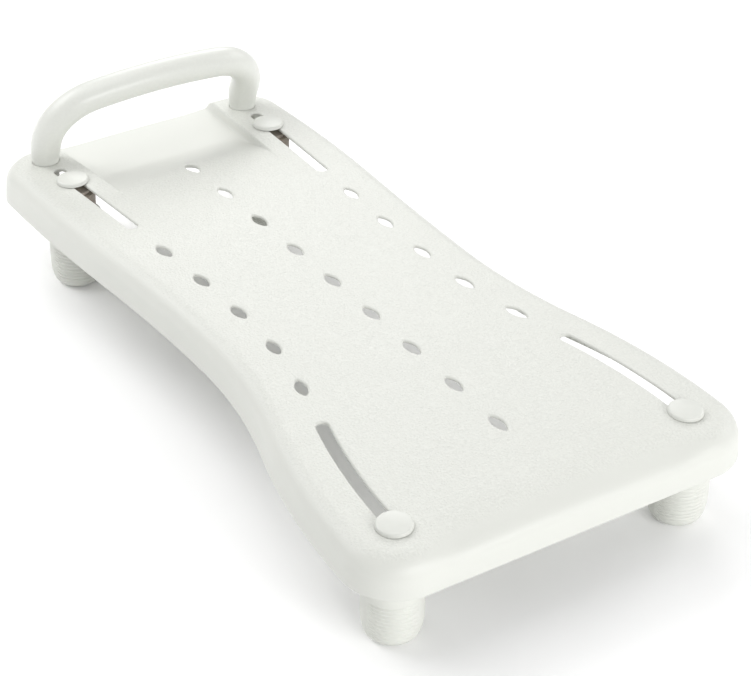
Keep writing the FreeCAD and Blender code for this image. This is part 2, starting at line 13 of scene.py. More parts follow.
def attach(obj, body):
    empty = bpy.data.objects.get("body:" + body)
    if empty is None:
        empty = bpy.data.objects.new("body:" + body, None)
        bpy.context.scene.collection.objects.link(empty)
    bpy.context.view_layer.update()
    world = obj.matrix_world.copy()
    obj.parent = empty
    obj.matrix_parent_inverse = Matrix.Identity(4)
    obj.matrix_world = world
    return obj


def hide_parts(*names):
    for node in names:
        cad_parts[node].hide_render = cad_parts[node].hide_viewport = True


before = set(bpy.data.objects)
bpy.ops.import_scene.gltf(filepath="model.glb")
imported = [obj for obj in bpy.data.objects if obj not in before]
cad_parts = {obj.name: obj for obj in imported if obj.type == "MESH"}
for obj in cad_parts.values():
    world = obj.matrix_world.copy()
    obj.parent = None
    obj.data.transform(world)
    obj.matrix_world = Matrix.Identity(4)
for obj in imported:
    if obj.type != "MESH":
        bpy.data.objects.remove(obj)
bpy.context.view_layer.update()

MM = 0.001
SIDES = (("left", -1), ("right", 1))

# Deck plan
HALF_LENGTH = 345.0
WAIST = (132.6, -20.0)
NEAR_WAIST_R = 440.0
FAR_WAIST_R = 2000.0
NEAR_WIDEST = (177.0, -315.0)
FAR_WIDEST = (142.5, 250.0)
NEAR_CORNER_R = 43.3
FAR_CORNER_R = 38.6

# Deck section: arch along Y, crown across X, and a near end that rolls over sooner between two x values
DECK_TOP = 106.2
BOW_R = 7070.0
CROWN_R = 4050.0
SKIRT_DEPTH = 35.3
EDGE_R = 17.5
WALL = 2.9
DRAFT = 1.1
NEAR_ROLL = 42.0
NEAR_ROLL_X = (95.0, 140.0)
LIP_R = 1.5

# Openings
HOLE_PITCH = 58.3
HOLE_MID_Y = -9.0
HOLE_HALF_LENGTH = 11.75
HOLE_HALF_WIDTH = 4.9
HOLE_TIP_R = 1.3
HOLE_RIM = 1.5
GUIDE_INSET = 43.5
SLOT_HALF = 5.2
NEAR_SLOT_EASE = 0.2
NEAR_SLOT_OVERRUN = 2.5
FAR_SLOT_EASE = -0.1
SLOT_RIM = 1.3
UNDER_RIM = 0.5
SEAT_RIM = 0.35
SEAT_GAP = 0.1
SEAT_DEPTH = 2.2
NEAR_FOOT_Y = -302.0
NEAR_SWING = math.radians(13.776)
FAR_FOOT = (100.4, 261.0)
FAR_SLOT_LEAN = 0.05
FAR_SLOT_Y = (155.0, 289.0)
FAR_TRAVEL_IN = 98.0
FAR_PATH_OUT = 120.0
POCKET_R = 23.6
POCKET_RAMP = 2.0
POCKET_DEPTH = 0.15

# Hand scoop: an even slope from its crease and a steeper fall further on. SCOOP_HALF is its half width
# at the crease and at the far end. Within SCOOP_FOOT of a wall the fall starts SCOOP_FOOT_LEAD sooner
# and the floor rises by the share SCOOP_FOOT_RISE.
SCOOP_CREASE_Y = 203.5
SCOOP_RUN = 68.0
SCOOP_EVEN_SHARE = 0.2
SCOOP_FALL = (220.0, 276.0)
SCOOP_DEPTH = 12.0
SCOOP_HALF = (74.0, 82.5)
SCOOP_WALL_SLOPE = 5.0
SCOOP_FOOT = 34.0
SCOOP_FOOT_LEAD = 14.0
SCOOP_FOOT_RISE = 0.2
SCOOP_FOOT_BLEND = 2.2

# Underside ribs
RIB = 2.6
RIB_DEPTH = 11.6
RIB_X = (22.0, 58.0)
RIB_SINK = 0.8
RIB_STEP = 2.0
RIB_FEWEST_STEPS = 13
RIB_FOOT_GAP = 3.0

# Handle
LEG = (102.0, 310.5)
LEG_R = 12.15
LEG_SINK = 2.0
LEG_TIP = 0.3
GRIP_R = 13.5
LEAN = math.radians(24.0)
LEAN_START = 12.0
LEAN_BEND_R = 35.0
ARCH_HEIGHT = 62.4
ARCH_CORNER_R = 45.0
GRIP_CROWN_R = 480.0
SPIGOT_R = 9.0
SPIGOT_GAP = 0.1
SPIGOT_BOTTOM_Z = 76.0
INSERT_BORE = (4.65, 90.2)
BOSS_R = 11.5
BOSS_BOTTOM_Z = 72.0
SCREW_HOLE_R = 3.3

# Caps: CAP_SIDE is how far the side leans in and the height it ends at
CAP_R = 14.3
NEAR_CAP_GAP = 0.15
FAR_CAP_GAP = 0.36
CAP_LIP = 0.3
CAP_SIDE = (0.3, 1.5)
CAP_SHOULDER = 1.9
CAP_CREST = 4.15
CAP_CURVE = 1.7
NECK_HALF = (4.4, 6.9)
NECK_LOW = -3.55
NECK_CHAMFER = 0.35

# Rubber sleeves
FOOT_R = 23.8
RIB_PITCH = 3.4
RIB_TOP = 39.5
RIB_COUNT = 10
RIB_GROOVE = 0.9
RIB_FADE = (math.radians(40), math.radians(16))
BELLY_R = 52.0
BELLY_TOP = 22.0
TOE_R = 10.5
SLEEVE_TOP = 68.9
SLEEVE_RIM = 0.9
SLEEVE_BORE = 19.48
SLEEVE_FLOOR = 7.0
SLEEVE_FACING = math.radians(-123)


# ---------------------------------------------------------------- plan outline

def flare(widest, waist_r):
    """Centre and radius of the convex arc that meets a waist arc and ends parallel to Y."""
    rise, run = widest[0] - WAIST[0], widest[1] - WAIST[1]
    radius = (rise * rise + run * run) / (2 * rise) - waist_r
    return np.array([widest[0] - radius, widest[1]]), radius


NEAR_FLARE_C, NEAR_FLARE_R = flare(NEAR_WIDEST, NEAR_WAIST_R)
FAR_FLARE_C, FAR_FLARE_R = flare(FAR_WIDEST, FAR_WAIST_R)
NEAR_WAIST_C = np.array([WAIST[0] + NEAR_WAIST_R, WAIST[1]])
FAR_WAIST_C = np.array([WAIST[0] + FAR_WAIST_R, WAIST[1]])


def corner_centre(flare_c, flare_r, corner_r, end_y):
    """Centre of a corner arc inside the flare arc and against the end line."""
    y = end_y - math.copysign(corner_r, end_y)
    return np.array([flare_c[0] + math.sqrt((flare_r - corner_r) ** 2 - (y - flare_c[1]) ** 2), y])


NEAR_CORNER_C = corner_centre(NEAR_FLARE_C, NEAR_FLARE_R, NEAR_CORNER_R, -HALF_LENGTH)
FAR_CORNER_C = corner_centre(FAR_FLARE_C, FAR_FLARE_R, FAR_CORNER_R, HALF_LENGTH)


def heading(a, b):
    """Direction from a to b."""
    return math.atan2(b[1] - a[1], b[0] - a[0])


def arc(centre, radius, start, end, count):
    """Points along an arc, without its last one."""
    t = start + (end - start) * np.arange(count) / count
    return np.stack([centre[0] + radius * np.cos(t), centre[1] + radius * np.sin(t)], axis=1)


def line(start, end, count):
    """Points along a line, without its last one."""
    t = (np.arange(count) / count)[:, None]
    return np.array(start) * (1 - t) + np.array(end) * t


def outline(inset):
    """The deck's plan moved inwards, as matching points for every inset, anticlockwise."""
    end = HALF_LENGTH - inset
    near_c, near_turn = heading(NEAR_FLARE_C, NEAR_CORNER_C), heading(NEAR_FLARE_C, NEAR_WAIST_C)
    far_turn, far_c = heading(FAR_FLARE_C, FAR_WAIST_C), heading(FAR_FLARE_C, FAR_CORNER_C)
    half = np.concatenate([
        line((0, -end), (NEAR_CORNER_C[0], -end), 34),
        arc(NEAR_CORNER_C, NEAR_CORNER_R - inset, -math.pi / 2, near_c, 34),
        arc(NEAR_FLARE_C, NEAR_FLARE_R - inset, near_c, near_turn, 44),
        arc(NEAR_WAIST_C, NEAR_WAIST_R + inset, near_turn + math.pi, math.pi, 34),
        arc(FAR_WAIST_C, FAR_WAIST_R + inset, math.pi, far_turn + math.pi, 36),
        arc(FAR_FLARE_C, FAR_FLARE_R - inset, far_turn, far_c, 44),
        arc(FAR_CORNER_C, FAR_CORNER_R - inset, far_c, math.pi / 2, 34),
        line((FAR_CORNER_C[0], end), (0, end), 96),
    ])
    mirrored = (half * [-1, 1])[::-1]
    return np.concatenate([half, [[0, end]], mirrored[:-1]])


def half_width(y):
    """Half the deck's width at y, away from its corners."""
    near_turn_y = NEAR_FLARE_C[1] + NEAR_FLARE_R * math.sin(heading(NEAR_FLARE_C, NEAR_WAIST_C))
    far_turn_y = FAR_FLARE_C[1] + FAR_FLARE_R * math.sin(heading(FAR_FLARE_C, FAR_WAIST_C))
    if y < near_turn_y:
        return NEAR_FLARE_C[0] + math.sqrt(NEAR_FLARE_R ** 2 - (y - NEAR_FLARE_C[1]) ** 2)
    if y > far_turn_y:
        return FAR_FLARE_C[0] + math.sqrt(FAR_FLARE_R ** 2 - (y - FAR_FLARE_C[1]) ** 2)
    centre, radius = (NEAR_WAIST_C, NEAR_WAIST_R) if y < WAIST[1] else (FAR_WAIST_C, FAR_WAIST_R)
    return centre[0] - math.sqrt(radius ** 2 - (y - centre[1]) ** 2)


def side_angle(y):
    """Angle by which the deck's edge turns from +Y towards +X at y."""
    return math.atan2(half_width(y + 0.5) - half_width(y - 0.5), 1.0)


# ---------------------------------------------------------------- deck surfaces

def smooth(t):
    """Eased step from 0 to 1."""
    t = np.clip(t, 0, 1)
    return t * t * (3 - 2 * t)


def soft_min(a, b, k):
    """The lower of two heights, blended over k."""
    h = np.clip(k - np.abs(a - b), 0, None) / k
    return np.minimum(a, b) - h * h * k / 4


def soft_max(a, b, k):
    """The higher of two heights, blended over k."""
    return -soft_min(-a, -b, k)


def arched(x, y):
    """Height of the arched and crowned top."""
    return DECK_TOP - y ** 2 / (2 * BOW_R) - x ** 2 / (2 * CROWN_R)


def scoop(x, y, grow):
    """Height of the hand scoop's surface, and how softly it meets the deck."""
    base = arched(x, y)
    t = (y - SCOOP_CREASE_Y) / (HALF_LENGTH - SCOOP_CREASE_Y)
    wall_x = SCOOP_HALF[0] + (SCOOP_HALF[1] - SCOOP_HALF[0]) * t + grow
    within = wall_x - np.abs(x)
    foot = np.clip(1 - within / SCOOP_FOOT, 0, 1.1) ** 2
    even = np.clip((y - SCOOP_CREASE_Y + grow) / SCOOP_RUN, -1, 1)
    start, end = SCOOP_FALL
    fall = smooth((y + grow + SCOOP_FOOT_LEAD * foot - start) / (end - start))
    share = (1 - SCOOP_EVEN_SHARE) * fall + SCOOP_EVEN_SHARE * even
    floor = base - SCOOP_DEPTH * share * (1 - SCOOP_FOOT_RISE * foot)
    wall = base - within * SCOOP_WALL_SLOPE
    blend = 0.3 + 1.5 * smooth((12 - within) / 8)
    return soft_max(floor, wall, SCOOP_FOOT_BLEND), blend


def pocket(x, y):
    """Depth of the shallow round recess under each near cap."""
    r = np.hypot(np.abs(x) - slot_point(0)[0], y - NEAR_FOOT_Y)
    return POCKET_DEPTH * smooth((POCKET_R - r) / POCKET_RAMP)


def near_roll(x, y):
    """Extra drop that makes the near end roll over sooner than the other edges."""
    def quarter(reach):
        u = np.clip(1 - (HALF_LENGTH + y) / reach, 0, 1)
        return EDGE_R * (1 - np.sqrt(1 - u * u))
    fade = 1 - smooth((np.abs(x) - NEAR_ROLL_X[0]) / (NEAR_ROLL_X[1] - NEAR_ROLL_X[0]))
    return (quarter(NEAR_ROLL) - quarter(EDGE_R)) * fade


def top_height(x, y, drop=0.0):
    """Height of the deck's upper surface, with the rounded edge's drop."""
    surface = arched(x, y) - drop - pocket(x, y) - near_roll(x, y)
    scooped, blend = scoop(x, y, 0.0)
    return soft_min(surface, scooped, blend)


def under_height(x, y, drop=0.0):
    """Height of the surface below the deck's skin."""
    surface = arched(x, y) - WALL - drop - near_roll(x, y)
    scooped, _ = scoop(x, y, WALL)
    return soft_min(surface, scooped - WALL, 3.0)


# ---------------------------------------------------------------- openings in plan

def placed(points, x, y, turn=0.0):
    """Points turned from +Y towards +X and moved."""
    c, s = math.cos(turn), math.sin(turn)
    px, py = points[:, 0], points[:, 1]
    return np.stack([x + px * c + py * s, y - px * s + py * c], axis=1)


def lens(grow):
    """A drain hole: two shallow arcs with rounded tips."""
    radius = (HOLE_HALF_LENGTH ** 2 + HOLE_HALF_WIDTH ** 2) / (2 * HOLE_HALF_WIDTH)
    shift = radius - HOLE_HALF_WIDTH
    tip = math.sqrt((radius - HOLE_TIP_R) ** 2 - shift ** 2)
    a = math.atan2(tip, shift)
    return np.concatenate([
        arc((-shift, 0), radius + grow, -a, a, 18),
        arc((0, tip), HOLE_TIP_R + grow, a, math.pi - a, 8),
        arc((shift, 0), radius + grow, math.pi - a, math.pi + a, 18),
        arc((0, -tip), HOLE_TIP_R + grow, math.pi + a, 2 * math.pi - a, 8),
    ])


SLOT_ARC_R = NEAR_FLARE_R - GUIDE_INSET
NEAR_START = math.asin((NEAR_FOOT_Y - NEAR_FLARE_C[1]) / SLOT_ARC_R)


def slot_point(turn):
    """A point on the right near slot's line, turned about the slot's centre."""
    a = NEAR_START + turn
    return NEAR_FLARE_C + SLOT_ARC_R * np.array([math.cos(a), math.sin(a)])


def near_slot(grow):
    """The right near slot, which follows the flare."""
    half = SLOT_HALF + NEAR_SLOT_EASE + grow
    over = NEAR_SLOT_OVERRUN / SLOT_ARC_R
    a0, a1 = NEAR_START - over, NEAR_START + NEAR_SWING + over
    tip0 = NEAR_FLARE_C + SLOT_ARC_R * np.array([math.cos(a0), math.sin(a0)])
    tip1 = NEAR_FLARE_C + SLOT_ARC_R * np.array([math.cos(a1), math.sin(a1)])
    return np.concatenate([
        arc(NEAR_FLARE_C, SLOT_ARC_R + half, a0, a1, 60),
        arc(tip1, half, a1, a1 + math.pi, 14),
        arc(NEAR_FLARE_C, SLOT_ARC_R - half, a1, a0, 60),
        arc(tip0, half, a0 + math.pi, a0 + 2 * math.pi, 14),
    ])


def far_slot(grow):
    """The right far slot, straight and leaning slightly outwards."""
    half = SLOT_HALF + FAR_SLOT_EASE + grow
    along = np.array([FAR_SLOT_LEAN, 1.0]) / math.hypot(FAR_SLOT_LEAN, 1.0)
    across = np.array([along[1], -along[0]]) * half
    ends = []
    for y in (FAR_SLOT_Y[0] + SLOT_HALF, FAR_SLOT_Y[1] - SLOT_HALF):
        ends.append(np.array([FAR_FOOT[0] + FAR_SLOT_LEAN * (y - FAR_FOOT[1]), y]))
    a = math.atan2(across[1], across[0])
    return np.concatenate([
        line(ends[0] + across, ends[1] + across, 62),
        arc(ends[1], half, a, a + math.pi, 14),
        line(ends[1] - across, ends[0] - across, 62),
        arc(ends[0], half, a + math.pi, a + 2 * math.pi, 14),
    ])


def mirror_ring(points):
    """The same ring on the other side of the deck, still anticlockwise."""
    return (points * [-1, 1])[::-1]


def ring_circle(x, y, radius, count):
    """A full circle as a ring."""
    return arc((x, y), radius, 0, 2 * math.pi, count)


def openings():
    """Every opening as (ring function of its growth, rim radius, goes through)."""
    found = []
    for k in range(-4, 5):
        y = HOLE_MID_Y + HOLE_PITCH * k
        found.append((lambda g, y=y: placed(lens(g), 0, y), HOLE_RIM, True))
    for k in range(-2, 3):
        y = HOLE_MID_Y + HOLE_PITCH * k
        x, turn = half_width(y) - GUIDE_INSET, side_angle(y)
        for _, side in SIDES:
            hole = lambda g, x=side * x, y=y, t=side * turn: placed(lens(g), x, y, t)
            found.append((hole, HOLE_RIM, True))
    found.append((near_slot, SLOT_RIM, True))
    found.append((far_slot, SLOT_RIM, True))
    found.append((lambda g: mirror_ring(near_slot(g)), SLOT_RIM, True))
    found.append((lambda g: mirror_ring(far_slot(g)), SLOT_RIM, True))
    for _, side in SIDES:
        seat = lambda g, x=side * LEG[0]: ring_circle(x, LEG[1], LEG_R + SEAT_GAP + g, 56)
        found.append((seat, SEAT_RIM, False))
    return found


# ---------------------------------------------------------------- mesh building

class Shell:
    """Collects vertices in millimetres and faces, then makes an object."""

    def __init__(self):
        self.points = []
        self.faces = []
        self.count = 0

    def add(self, points):
        """Adds points and returns their numbers."""
        points = np.asarray(points, float).reshape(-1, 3)
        self.points.append(points)
        first = self.count
        self.count += len(points)
        return np.arange(first, self.count)

    def bridge(self, a, b):
        """Quads between two matching rings. They face outwards when anticlockwise rings go down from a to b."""
        n = len(a)
        for i in range(n):
            j = (i + 1) % n
            self.faces.append((a[j], a[i], b[i], b[j]))

    def rings(self, rings):
        """Adds rings that go down and joins each to the next."""
        ids = [self.add(r) for r in rings]
        for a, b in zip(ids, ids[1:]):
            self.bridge(a, b)
        return ids

    def fan(self, ring, point, up):
        """Closes an anticlockwise ring with triangles to a point, facing up or down."""
        centre = self.add([point])[0]
        n = len(ring)
        for i in range(n):
            j = (i + 1) % n
            self.faces.append((ring[i], ring[j], centre) if up else (ring[j], ring[i], centre))

    def object(self, name, material):
        """A smooth-shaded object in metres."""
        mesh = bpy.data.meshes.new(name)
        vertices = (np.concatenate(self.points) * MM).tolist()
        mesh.from_pydata(vertices, [], [tuple(map(int, face)) for face in self.faces])
        mesh.validate()
        mesh.polygons.foreach_set("use_smooth", [True] * len(mesh.polygons))
        mesh.materials.append(material)
        obj = bpy.data.objects.new(name, mesh)
        bpy.context.scene.collection.objects.link(obj)
        return obj


def lift(ring, height):
    """A plan ring with heights."""
    z = np.broadcast_to(height, (len(ring),))
    return np.column_stack([ring, z])


def turned(shell, profile, segments, place):
    """A turned shape whose profile goes from its lower pole outwards and up to its upper pole."""
    t = np.linspace(0, 2 * math.pi, segments, endpoint=False)
    rings = []
    for r, z in profile:
        ring = np.column_stack([r * np.cos(t), r * np.sin(t), np.full(segments, z)])
        rings.append(shell.add(place(ring)))
    for a, b in zip(rings, rings[1:]):
        shell.bridge(b, a)
    shell.fan(rings[0], place(np.array([[0, 0, profile[0][1]]]))[0], False)
    shell.fan(rings[-1], place(np.array([[0, 0, profile[-1][1]]]))[0], True)


def inside(polygon, points):
    """Which points lie inside a polygon."""
    x, y = points[:, 0], points[:, 1]
    hit = np.zeros(len(points), bool)
    ax, ay = polygon[:, 0], polygon[:, 1]
    bx, by = np.roll(ax, -1), np.roll(ay, -1)
    for i in range(len(polygon)):
        if ay[i] == by[i]:
            continue
        crosses = (ay[i] > y) != (by[i] > y)
        hit ^= crosses & (x < (bx[i] - ax[i]) * (y - ay[i]) / (by[i] - ay[i]) + ax[i])
    return hit


def field_points():
    """Plan points that carry the deck's surface between its edge and its openings."""
    step = 5.0
    rows = []
    for j, y in enumerate(np.arange(-330, 331, step * 0.866)):
        xs = np.arange(-175, 176, step) + (step / 2 if j % 2 else 0)
        rows.append(np.column_stack([xs, np.full(len(xs), y)]))
    grid = np.concatenate(rows)
    t = (grid[:, 1] - SCOOP_CREASE_Y) / (HALF_LENGTH - SCOOP_CREASE_Y)
    past_crease = grid[:, 1] > SCOOP_CREASE_Y - 6
    in_scoop = past_crease & (np.abs(grid[:, 0]) < SCOOP_HALF[0] + 5 * t + 8)
    near_cap = np.hypot(np.abs(grid[:, 0]) - slot_point(0)[0], grid[:, 1] - NEAR_FOOT_Y) < 28
    grid = grid[~in_scoop & ~near_cap]
    fine = []
    inner_steps = [-14, -11.5, -9.5, -8, -7, -6, -5.2, -4.4, -3.6, -2.8, -2, -1.2, -0.4]
    outer_steps = [0.4, 1.2, 2.2, 3.6, 5.4]
    crease_steps = [-4, -2.2, -1.2, -0.5, 0, 0.5, 1.2, 2.2, 3.6, 5.4]
    ys = np.concatenate([crease_steps, np.arange(8, 124, 2.6)]) + SCOOP_CREASE_Y
    for y in ys:
        widening = (SCOOP_HALF[1] - SCOOP_HALF[0]) * (y - SCOOP_CREASE_Y) / (HALF_LENGTH - SCOOP_CREASE_Y)
        right = SCOOP_HALF[0] + widening + np.array(inner_steps + outer_steps)
        count = int(2 * right[0] / 4.0)
        middle = np.linspace(-right[0], right[0], count)[1:-1]
        xs = np.concatenate([-right[::-1], middle, right])
        fine.append(np.column_stack([xs, np.full(len(xs), y)]))
    for r in (15.5, 18, 20, 21, 21.8, 22.6, 23.4, 24.3, 26):
        for _, side in SIDES:
            fine.append(ring_circle(side * slot_point(0)[0], NEAR_FOOT_Y, r, 56))
    return grid, np.concatenate(fine)


def grain_amount(points):
    """How strongly the pebble grain shows: fully on the flat top, faintly on edges and not on rims."""
    x, y = points[:, 0], points[:, 1]
    flat = 1 - smooth((arched(x, y) - points[:, 2] - 0.8) / 4.0)
    sunk = smooth((top_height(x, y) - points[:, 2]) / 0.35)
    rim = sunk * inside(outline(EDGE_R + 0.3), points[:, :2])
    return (0.08 + 0.92 * flat) * (1 - rim)


def make_deck(material):
    """The whole moulded deck as one closed shell."""
    shell = Shell()
    turn = np.radians(np.concatenate([np.arange(0, 50, 6.0), np.arange(50, 91, 4.0)]))
    under_r = EDGE_R - WALL
    rings = []
    for a in turn:
        ring = outline(DRAFT * math.sin(a) + EDGE_R * (1 - math.sin(a)))
        rings.append(lift(ring, top_height(ring[:, 0], ring[:, 1], EDGE_R * (1 - math.cos(a)))))
    edge = outline(0.0)
    bottom = DECK_TOP - SKIRT_DEPTH - edge[:, 1] ** 2 / (2 * BOW_R)
    side_top = rings[-1][:, 2]
    for t in (0.2, 0.4, 0.6, 0.8):
        rings.append(lift(outline(DRAFT * (1 - t)), side_top + (bottom + LIP_R - side_top) * t))
    for a in np.radians(np.arange(0, 91, 18)):
        rings.append(lift(outline(LIP_R * (1 - math.cos(a))), bottom + LIP_R * (1 - math.sin(a))))
    for a in np.radians(np.arange(90, -1, -18)):
        rings.append(lift(outline(WALL - LIP_R * (1 - math.cos(a))), bottom + LIP_R * (1 - math.sin(a))))
    inner = outline(WALL)
    inner_top = under_height(inner[:, 0], inner[:, 1], under_r)
    for t in (0.25, 0.5, 0.75):
        rings.append(lift(inner, bottom + LIP_R + (inner_top - bottom - LIP_R) * t))
    for a in np.radians(np.arange(90, -1, -7.5)):
        ring = outline(WALL + under_r * (1 - math.sin(a)))
        rings.append(lift(ring, under_height(ring[:, 0], ring[:, 1], under_r * (1 - math.cos(a)))))
    ids = shell.rings(rings)
    plan_rings = [outline(EDGE_R)]
    top_ids, under_ids = [ids[0]], [ids[-1]]
    for ring_at, rim, through in openings():
        angles = np.radians(np.arange(0, 91, 18))
        wide = ring_at(rim)
        plan_rings.append(wide)
        stack = []
        for a in angles:
            ring = ring_at(rim * (1 - math.sin(a)))
            stack.append(lift(ring, top_height(ring[:, 0], ring[:, 1]) - rim * (1 - math.cos(a))))
        hole = ring_at(0.0)
        top_z = top_height(hole[:, 0], hole[:, 1])
        low_z = under_height(hole[:, 0], hole[:, 1])
        if through:
            stack.append(lift(hole, (top_z - rim + low_z + UNDER_RIM) / 2))
            stack.append(lift(hole, low_z + UNDER_RIM))
            ring = ring_at(UNDER_RIM)
            stack.append(lift(ring, under_height(ring[:, 0], ring[:, 1])))
            stack.append(lift(wide, under_height(wide[:, 0], wide[:, 1])))
        else:
            stack.append(lift(hole, top_z - SEAT_DEPTH))
        ids = [shell.add(ring) for ring in stack]
        for a, b in zip(ids, ids[1:]):
            shell.bridge(b, a)
        top_ids.append(ids[0])
        if through:
            under_ids.append(ids[-1])
        else:
            centre = hole.mean(axis=0)
            shell.fan(ids[-1], [centre[0], centre[1], float(top_z.mean()) - SEAT_DEPTH], True)
            under_ids.append(shell.add(lift(wide, under_height(wide[:, 0], wide[:, 1]))))
            shell.fan(under_ids[-1], [centre[0], centre[1], float(under_height(*centre))], False)
    tree_points = np.concatenate(plan_rings)
    tree = kdtree.KDTree(len(tree_points))
    for i, p in enumerate(tree_points):
        tree.insert((p[0], p[1], 0), i)
    tree.balance()

    def clear(points, gap):
        """Points on the flat plan, at least a gap from every ring."""
        keep = inside(plan_rings[0], points)
        for ring in plan_rings[1:]:
            keep &= ~inside(ring, points)
        near = np.array([tree.find((p[0], p[1], 0))[2] if k else 0.0 for p, k in zip(points, keep)])
        return points[keep & (near > gap)]

    grid, fine = field_points()
    field = np.concatenate([clear(grid, 2.6), clear(fine, 0.7)])
    field = field[np.abs(field[:, 1]) < HALF_LENGTH]
    plan = np.concatenate(plan_rings + [field])
    edges = []
    first = 0
    for ring in plan_rings:
        n = len(ring)
        edges += [(first + i, first + (i + 1) % n) for i in range(n)]
        first += n
    verts, _, tris, source = delaunay_2d_cdt([Vector(p) for p in plan], edges, [], 0, 1e-5, True)[:4]
    tris = np.array(tris)
    xy = np.array([[v.x, v.y] for v in verts])
    middle = xy[tris].mean(axis=1)
    keep = inside(plan_rings[0], middle)
    for ring in plan_rings[1:]:
        keep &= ~inside(ring, middle)
    tris = tris[keep]
    top_field = shell.add(lift(field, top_height(field[:, 0], field[:, 1])))
    under_field = shell.add(lift(field, under_height(field[:, 0], field[:, 1])))
    top_map = np.concatenate(top_ids + [top_field])
    under_map = np.concatenate(under_ids + [under_field])
    back = np.array([s[0] if s else -1 for s in source])
    if (back < 0).any() or len(set(back.tolist())) != len(plan) or len(top_map) != len(plan):
        raise ValueError("the deck's plan has crossing edges")
    for t in tris:
        a, b, c = back[t]
        pa, pb, pc = plan[a], plan[b], plan[c]
        if (pb[0] - pa[0]) * (pc[1] - pa[1]) - (pb[1] - pa[1]) * (pc[0] - pa[0]) < 0:
            b, c = c, b
        shell.faces.append((top_map[a], top_map[b], top_map[c]))
        shell.faces.append((under_map[c], under_map[b], under_map[a]))
    deck = shell.object("deck_shell", material)
    grain = deck.data.attributes.new("grain", "FLOAT", "POINT")
    points = np.concatenate(shell.points)
    grain.data.foreach_set("value", grain_amount(points).astype(np.float32))
    return deck


def edge_distance(points):
    """How far plan points lie from the deck's outline."""
    a = outline(0.0)
    step = np.roll(a, -1, axis=0) - a
    length = (step ** 2).sum(axis=1)
    best = np.full(len(points), 1e9)
    for p, d, n in zip(a, step, length):
        t = np.clip(((points - p) @ d) / n, 0, 1)
        best = np.minimum(best, np.hypot(*(points - p - t[:, None] * d).T))
    return best


def deck_ribs(material):
    """Stiffening ribs below the deck, kept clear of the feet's paths, and the two handle bosses."""
    shell = Shell()

    def ceiling(points):
        """Height of the skin's underside, with the rounded edge's drop."""
        round_r = EDGE_R - WALL
        reach = np.clip(EDGE_R - edge_distance(points), 0, round_r)
        drop = round_r - np.sqrt(round_r ** 2 - reach ** 2)
        return under_height(points[:, 0], points[:, 1], drop)

    def plate(points, along_x):
        """A thin upright plate along a straight run of plan points."""
        points = np.array(points)
        side = np.array([0.0, RIB / 2]) if along_x else np.array([RIB / 2, 0.0])
        mid_top = ceiling(points) + RIB_SINK
        low = arched(points[:, 0], points[:, 1]) - RIB_DEPTH
        loops = []
        for p, top, bottom in zip(points, mid_top, low):
            a, b = (p - side, p + side) if along_x else (p + side, p - side)
            loops.append([(*a, bottom), (*a, top), (*b, top), (*b, bottom)])
        ids = [shell.add(loop) for loop in loops]
        for a, b in zip(ids, ids[1:]):
            for i in range(4):
                j = (i + 1) % 4
                shell.faces.append((a[i], b[i], b[j], a[j]))
        shell.faces.append(tuple(ids[0]))
        shell.faces.append(tuple(ids[-1][::-1]))

    def runs(points):
        """Stretches of points that stay inside the skirt and clear of feet and openings."""
        points = np.array(points)
        keep = inside(outline(WALL - 0.8), points)
        keep &= ceiling(points) > arched(points[:, 0], points[:, 1]) - RIB_DEPTH + 1.0
        for ring in foot_paths(FOOT_R + RIB_FOOT_GAP):
            keep &= ~inside(ring, points)
        start = None
        for i, k in enumerate(np.append(keep, False)):
            if k and start is None:
                start = i
            if not k and start is not None:
                if i - start > RIB_FEWEST_STEPS:
                    yield points[start:i]
                start = None

    for k in range(-6, 6):
        y = HOLE_MID_Y + HOLE_PITCH * (k + 0.5)
        for run in runs([(x, y) for x in np.arange(-180, 180.1, RIB_STEP)]):
            plate(run, True)
    for x in RIB_X:
        for _, side in SIDES:
            for run in runs([(side * x, y) for y in np.arange(-344, 344.1, RIB_STEP)]):
                plate(run, False)
    top = float(arched(*LEG)) - WALL + RIB_SINK
    bore = SPIGOT_R + SPIGOT_GAP
    profile = [(SCREW_HOLE_R, BOSS_BOTTOM_Z), (BOSS_R, BOSS_BOTTOM_Z), (BOSS_R, top),
               (bore, top), (bore, SPIGOT_BOTTOM_Z), (SCREW_HOLE_R, SPIGOT_BOTTOM_Z)]
    for _, side in SIDES:
        ids = [shell.add(lift(ring_circle(side * LEG[0], LEG[1], r, 48), z)) for r, z in profile]
        for a, b in zip(ids, ids[1:] + ids[:1]):
            shell.bridge(b, a)
    return shell.object("deck_ribs", material)


def foot_paths(radius):
    """Plan outlines of what the four feet sweep."""
    a0, a1 = NEAR_START, NEAR_START + NEAR_SWING
    near = np.concatenate([
        arc(NEAR_FLARE_C, SLOT_ARC_R + radius, a0, a1, 20),
        arc(slot_point(NEAR_SWING), radius, a1, a1 + math.pi, 20),
        arc(NEAR_FLARE_C, SLOT_ARC_R - radius, a1, a0, 20),
        arc(slot_point(0), radius, a0 + math.pi, a0 + 2 * math.pi, 20),
    ])
    ends = [(FAR_FOOT[0] + FAR_SLOT_LEAN * dy, FAR_FOOT[1] + dy) for dy in (-FAR_TRAVEL_IN, FAR_PATH_OUT)]
    far = np.concatenate([
        line((ends[0][0] + radius, ends[0][1]), (ends[1][0] + radius, ends[1][1]), 20),
        line((ends[1][0] - radius, ends[1][1]), (ends[0][0] - radius, ends[0][1]), 20),
        arc(ends[0], radius, math.pi, 2 * math.pi, 20),
    ])
    return [near, far, mirror_ring(near), mirror_ring(far)]


# ---------------------------------------------------------------- handle

